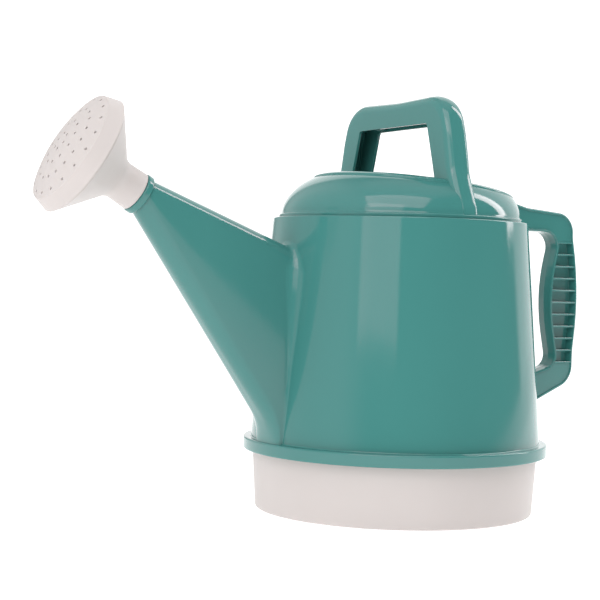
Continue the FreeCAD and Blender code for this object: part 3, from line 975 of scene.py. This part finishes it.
def rose_cap():
    """Spray face with drilled holes, and its skirt."""
    outer_edge = CAP_R_FRONT - CAP_EDGE_ROUND
    inner_edge = CAP_R_FRONT - CAP_WALL - 0.8
    inner_front = CAP_FRONT - 0.6
    shelf_s = CAP_BACK + 5
    slope = (CAP_R_FRONT - CAP_R_BACK) / (CAP_FRONT - CAP_BACK)
    shape = Shape()
    flat, triangles, loops = face_plan(outer_edge)
    front, back = [], []
    for x, y in flat:
        r, angle = math.hypot(x, y), math.atan2(y, x)
        front.append(rose_point(r, CAP_FRONT + dome_height(r, CAP_R_FRONT, CAP_BULGE), angle))
        back_r = r * inner_edge / outer_edge if r > HOLE_RINGS[0][0] + 2 * HOLE_R else r
        back_s = inner_front + dome_height(min(back_r, inner_edge), inner_edge, CAP_BULGE - CAP_WALL + 0.4)
        back.append(rose_point(back_r, back_s, angle))
    front_row = shape.add(front)
    back_row = shape.add(back)
    shape.faces += [[front_row[i] for i in tri] for tri in triangles]
    shape.faces += [[back_row[i] for i in reversed(tri)] for tri in triangles]
    for loop in loops[1:]:
        shape.bridge([front_row[i] for i in loop], [back_row[i] for i in loop])

    def skirt_inner(s):
        """Radius of the skirt's inner face at a distance along the axis."""
        return CAP_R_BACK + slope * (s - CAP_BACK) - CAP_WALL

    edge_s = CAP_FRONT + dome_height(outer_edge, CAP_R_FRONT, CAP_BULGE)
    skirt = rounded_outline([
        (outer_edge, edge_s, 0),
        (CAP_R_FRONT, CAP_FRONT, CAP_EDGE_ROUND * 0.7),
        (CAP_R_BACK, CAP_BACK, 0.5),
        (skirt_inner(CAP_BACK), CAP_BACK, 0.4),
        (skirt_inner(shelf_s), shelf_s, 0),
        (inner_edge, shelf_s, 0),
        (inner_edge, inner_front, 0),
    ], closed=False)
    rows = [[front_row[i] for i in loops[0]]]
    angles = [TAU * k / ROSE_SEGMENTS for k in range(ROSE_SEGMENTS)]
    for r, s in split_long(skirt, SKIRT_STEP, closed=False)[1:-1]:
        rows.append(shape.add([rose_point(r, s, angle) for angle in angles]))
    rows.append([back_row[i] for i in loops[0]])
    for low, high in zip(rows, rows[1:]):
        shape.bridge(low, high)
    return shape


# ---- materials ----
NOISE_LOW, NOISE_HIGH = 0.3, 0.7       # nearly all of a noise texture's values are between these


def new_material(name):
    """New material and its shader."""
    material = bpy.data.materials.new(name)
    material.use_nodes = True
    return material, material.node_tree.nodes["Principled BSDF"]


def add_node(tree, kind, **values):
    """New node with its inputs or settings given by name."""
    node = tree.nodes.new(kind)
    for key, value in values.items():
        if key in node.inputs:
            node.inputs[key].default_value = value
        else:
            setattr(node, key, value)
    return node


def noise(tree, coords, scale, detail, stretch=(1, 1, 1)):
    """Noise over an object's own coordinates, at a scale in features per metre, drawn out by stretch."""
    mapping = add_node(tree, "ShaderNodeMapping")
    mapping.inputs["Scale"].default_value = stretch
    tree.links.new(coords, mapping.inputs["Vector"])
    texture = add_node(tree, "ShaderNodeTexNoise", Scale=scale, Detail=detail)
    tree.links.new(mapping.outputs["Vector"], texture.inputs["Vector"])
    return texture.outputs["Fac"]


def ramp(tree, factor, low, high):
    """Colour between two ends, driven by a noise."""
    node = add_node(tree, "ShaderNodeValToRGB")
    ends = ((NOISE_LOW, low), (NOISE_HIGH, high))
    for element, (position, colour) in zip(node.color_ramp.elements, ends):
        element.position = position
        element.color = (*colour, 1)
    tree.links.new(factor, node.inputs["Fac"])
    return node.outputs["Color"]


def map_range(tree, factor, low, high, to_low, to_high, kind="LINEAR"):
    """Factor from low to high mapped onto a range of values."""
    node = add_node(tree, "ShaderNodeMapRange", interpolation_type=kind)
    for key, value in (("From Min", low), ("From Max", high), ("To Min", to_low), ("To Max", to_high)):
        node.inputs[key].default_value = value
    tree.links.new(factor, node.inputs["Value"])
    return node.outputs["Result"]


def bumps(tree, shader, heights):
    """Chains bumps of (height, strength, distance in metres) into the shader's normal."""
    normal = None
    for height, strength, distance in heights:
        node = add_node(tree, "ShaderNodeBump", Strength=strength, Distance=distance)
        tree.links.new(height, node.inputs["Height"])
        if normal:
            tree.links.new(normal, node.inputs["Normal"])
        normal = node.outputs["Normal"]
    tree.links.new(normal, shader.inputs["Normal"])


def moulded_plastic(name, dark, light, rough, ior, glint, grain, flow):
    """Moulded polypropylene: slight colour drift, flow lines, pebbling and fine scuffs."""
    material, shader = new_material(name)
    tree = material.node_tree
    coords = add_node(tree, "ShaderNodeTexCoord").outputs["Object"]
    drift = noise(tree, coords, 9.0, 3.0, (1, 1, 0.45))
    tree.links.new(ramp(tree, drift, dark, light), shader.inputs["Base Color"])
    scuffs = noise(tree, coords, 60.0, 6.0, (1, 1, 0.3))
    scuffed = map_range(tree, scuffs, NOISE_LOW, NOISE_HIGH, *rough)
    tree.links.new(scuffed, shader.inputs["Roughness"])
    shader.inputs["IOR"].default_value = ior
    shader.inputs["Specular Tint"].default_value = (*glint, 1)
    pebble = noise(tree, coords, 1400.0, 2.0)
    waves = noise(tree, coords, 26.0, 1.0, (1, 1, flow))
    bumps(tree, shader, [(waves, 0.10, 0.0006), (pebble, grain, 0.00006)])
    return material


def teal_plastic():
    return moulded_plastic("teal_gloss", dark=(0.043, 0.193, 0.179), light=(0.049, 0.207, 0.191),
                           rough=(0.06, 0.11), ior=1.50, glint=(1.0, 0.66, 0.72), grain=0.12, flow=0.3)


def white_plastic():
    material = moulded_plastic("white_satin", dark=(0.522, 0.481, 0.467), light=(0.547, 0.505, 0.491),
                               rough=(0.38, 0.52), ior=1.40, glint=(1.0, 0.9, 0.9), grain=0.30, flow=0.6)
    shader = material.node_tree.nodes["Principled BSDF"]
    shader.inputs["Subsurface Weight"].default_value = 0.12
    shader.inputs["Subsurface Radius"].default_value = (0.004, 0.0035, 0.003)
    shader.inputs["Subsurface Scale"].default_value = 1.0
    return material


# ---- studio ----
CAMERA_PLACE = Vector((0.7152, 1.0603, 0.1946))
CAMERA_AIM = Vector((0.0844, -0.0187, 0.1737))
CAMERA_ROLL = math.radians(1.56)
CAMERA_LENS = 91.1
LIT_POINT = Vector((0, 0, 0.17))       # the middle of the can, which the soft boxes face
LIGHT_DISTANCE = 2.4
FLOOR_HALF = 60.0
FLOOR_Z = -0.0004


def camera():
    data = bpy.data.cameras.new("camera")
    data.lens = CAMERA_LENS
    data.sensor_width = 36.0
    data.clip_start, data.clip_end = 0.05, 200.0
    obj = bpy.data.objects.new("camera", data)
    bpy.context.scene.collection.objects.link(obj)
    forward = (CAMERA_AIM - CAMERA_PLACE).normalized()
    right = forward.cross(Vector((0, 0, 1))).normalized()
    up = right.cross(forward)
    c, s = math.cos(CAMERA_ROLL), math.sin(CAMERA_ROLL)
    turned_right, turned_up = right * c + up * s, up * c - right * s
    axes = Matrix((turned_right, turned_up, -forward)).transposed().to_4x4()
    obj.matrix_world = Matrix.Translation(CAMERA_PLACE) @ axes
    bpy.context.scene.camera = obj


def soft_light(name, azimuths, elevations, radiance):
    """Rectangular soft box that fills a range of directions in degrees, seen from the can's middle.

    Azimuth is measured from the camera towards its right.
    """
    azimuth, elevation = sum(azimuths) / 2, sum(elevations) / 2
    data = bpy.data.lights.new(name, "AREA")
    data.shape = "RECTANGLE"
    data.size = 2 * LIGHT_DISTANCE * math.tan(math.radians(azimuths[1] - azimuths[0]) / 2)
    data.size *= math.cos(math.radians(elevation))
    data.size_y = 2 * LIGHT_DISTANCE * math.tan(math.radians(elevations[1] - elevations[0]) / 2)
    data.energy = math.pi * data.size * data.size_y * radiance
    obj = bpy.data.objects.new(name, data)
    bpy.context.scene.collection.objects.link(obj)
    a = math.atan2(CAMERA_PLACE.y, CAMERA_PLACE.x) + math.radians(azimuth)
    e = math.radians(elevation)
    away = Vector((math.cos(a) * math.cos(e), math.sin(a) * math.cos(e), math.sin(e)))
    turn = away.to_track_quat("Z", "Y").to_matrix().to_4x4()
    obj.matrix_world = Matrix.Translation(LIT_POINT + away * LIGHT_DISTANCE) @ turn
    obj.visible_camera = False


def floor():
    mesh = bpy.data.meshes.new("floor")
    corners = [(x * FLOOR_HALF, y * FLOOR_HALF, FLOOR_Z) for x, y in ((-1, -1), (1, -1), (1, 1), (-1, 1))]
    mesh.from_pydata(corners, [], [(0, 1, 2, 3)])
    obj = bpy.data.objects.new("floor", mesh)
    bpy.context.scene.collection.objects.link(obj)
    material, shader = new_material("pale_floor")
    shader.inputs["Base Color"].default_value = (0.55, 0.55, 0.55, 1)
    shader.inputs["Roughness"].default_value = 0.9
    shader.inputs["Specular IOR Level"].default_value = 0.0
    shader.inputs["Emission Color"].default_value = (1, 1, 1, 1)
    shader.inputs["Emission Strength"].default_value = 0.85
    mesh.materials.append(material)


def room():
    """Studio round the can: white behind it, pale on its spout side, dim on the other."""
    world = bpy.data.worlds.new("studio")
    bpy.context.scene.world = world
    world.use_nodes = True
    tree = world.node_tree
    background = tree.nodes["Background"]
    direction = add_node(tree, "ShaderNodeTexCoord").outputs["Generated"]
    behind = Vector((-CAMERA_PLACE.x, -CAMERA_PLACE.y, 0)).normalized()
    side = Vector((-behind.y, behind.x, 0))

    def facing(vector, low, high, to_low, to_high):
        """Brightness by direction, which rises as the cosine to a vector goes from low to high."""
        dot = add_node(tree, "ShaderNodeVectorMath", operation="DOT_PRODUCT")
        dot.inputs[1].default_value = vector
        tree.links.new(direction, dot.inputs[0])
        return map_range(tree, dot.outputs["Value"], low, high, to_low, to_high, "SMOOTHSTEP")

    def combine(operation, a, b):
        node = add_node(tree, "ShaderNodeMath", operation=operation)
        tree.links.new(a, node.inputs[0])
        tree.links.new(b, node.inputs[1])
        return node.outputs["Value"]

    back = facing((behind - side * 0.35 + Vector((0, 0, 0.36))).normalized(), 0.68, 0.78, 0.0, 1.4)
    left = facing((side + Vector((0, 0, 0.25))).normalized(), 0.30, 0.75, 0.20, 1.0)
    over = facing(Vector((0, 0, 1)), 0.75, 0.97, 0.0, 0.85)
    total = combine("MAXIMUM", combine("MAXIMUM", back, left), over)
    tree.links.new(total, background.inputs["Strength"])
    background.inputs["Color"].default_value = (1, 1, 1, 1)


def studio():
    camera()
    floor()
    room()
    soft_light("key", azimuths=(-34, 2), elevations=(5.5, 40), radiance=1.75)
    soft_light("overhead", azimuths=(-38, 30), elevations=(30, 68), radiance=2.6)
    soft_light("side_strip", azimuths=(106, 120), elevations=(7.7, 60), radiance=8.0)
    bpy.context.scene.view_settings.view_transform = "Standard"


# ---- the can ----
def build_can():
    teal = (teal_plastic(), "teal_plastic")
    white = (white_plastic(), "white_plastic")
    make_piece("can_base_pan", base_pan(), white, ["base_pan"], "can")
    shell = make_piece("can_body", body_shell(), teal, ["body_shell"], "can")
    cut(shell, new_object("water_way", water_way_cutter()))
    make_piece("can_top_cover", top_cover(), teal, ["top_cover"], "can")
    grip = make_piece("can_top_handle", top_handle(), teal, ["top_handle"], "can")
    cut(grip, new_object("cover_block", dome_filled(SUNK)))
    for side, word in ((1, "left"), (-1, "right")):
        make_piece("top_handle_rib_" + word, cross_rib(side), teal, ["top_handle"], "can")
    make_piece("can_rear_handle", rear_handle(), teal, ["rear_handle"], "can")
    make_piece("can_spout", spout(), teal, ["spout"], "can")
    make_piece("spout_collar", spout_nozzle(), teal, ["spout_nozzle"], "can")
    make_piece("rose_funnel", rose_funnel(), white, ["rose_neck", "rose_flare"], "rose")
    make_piece("rose_spray_face", rose_cap(), white, ["rose_cap"], "rose_face")


build_can()
studio()
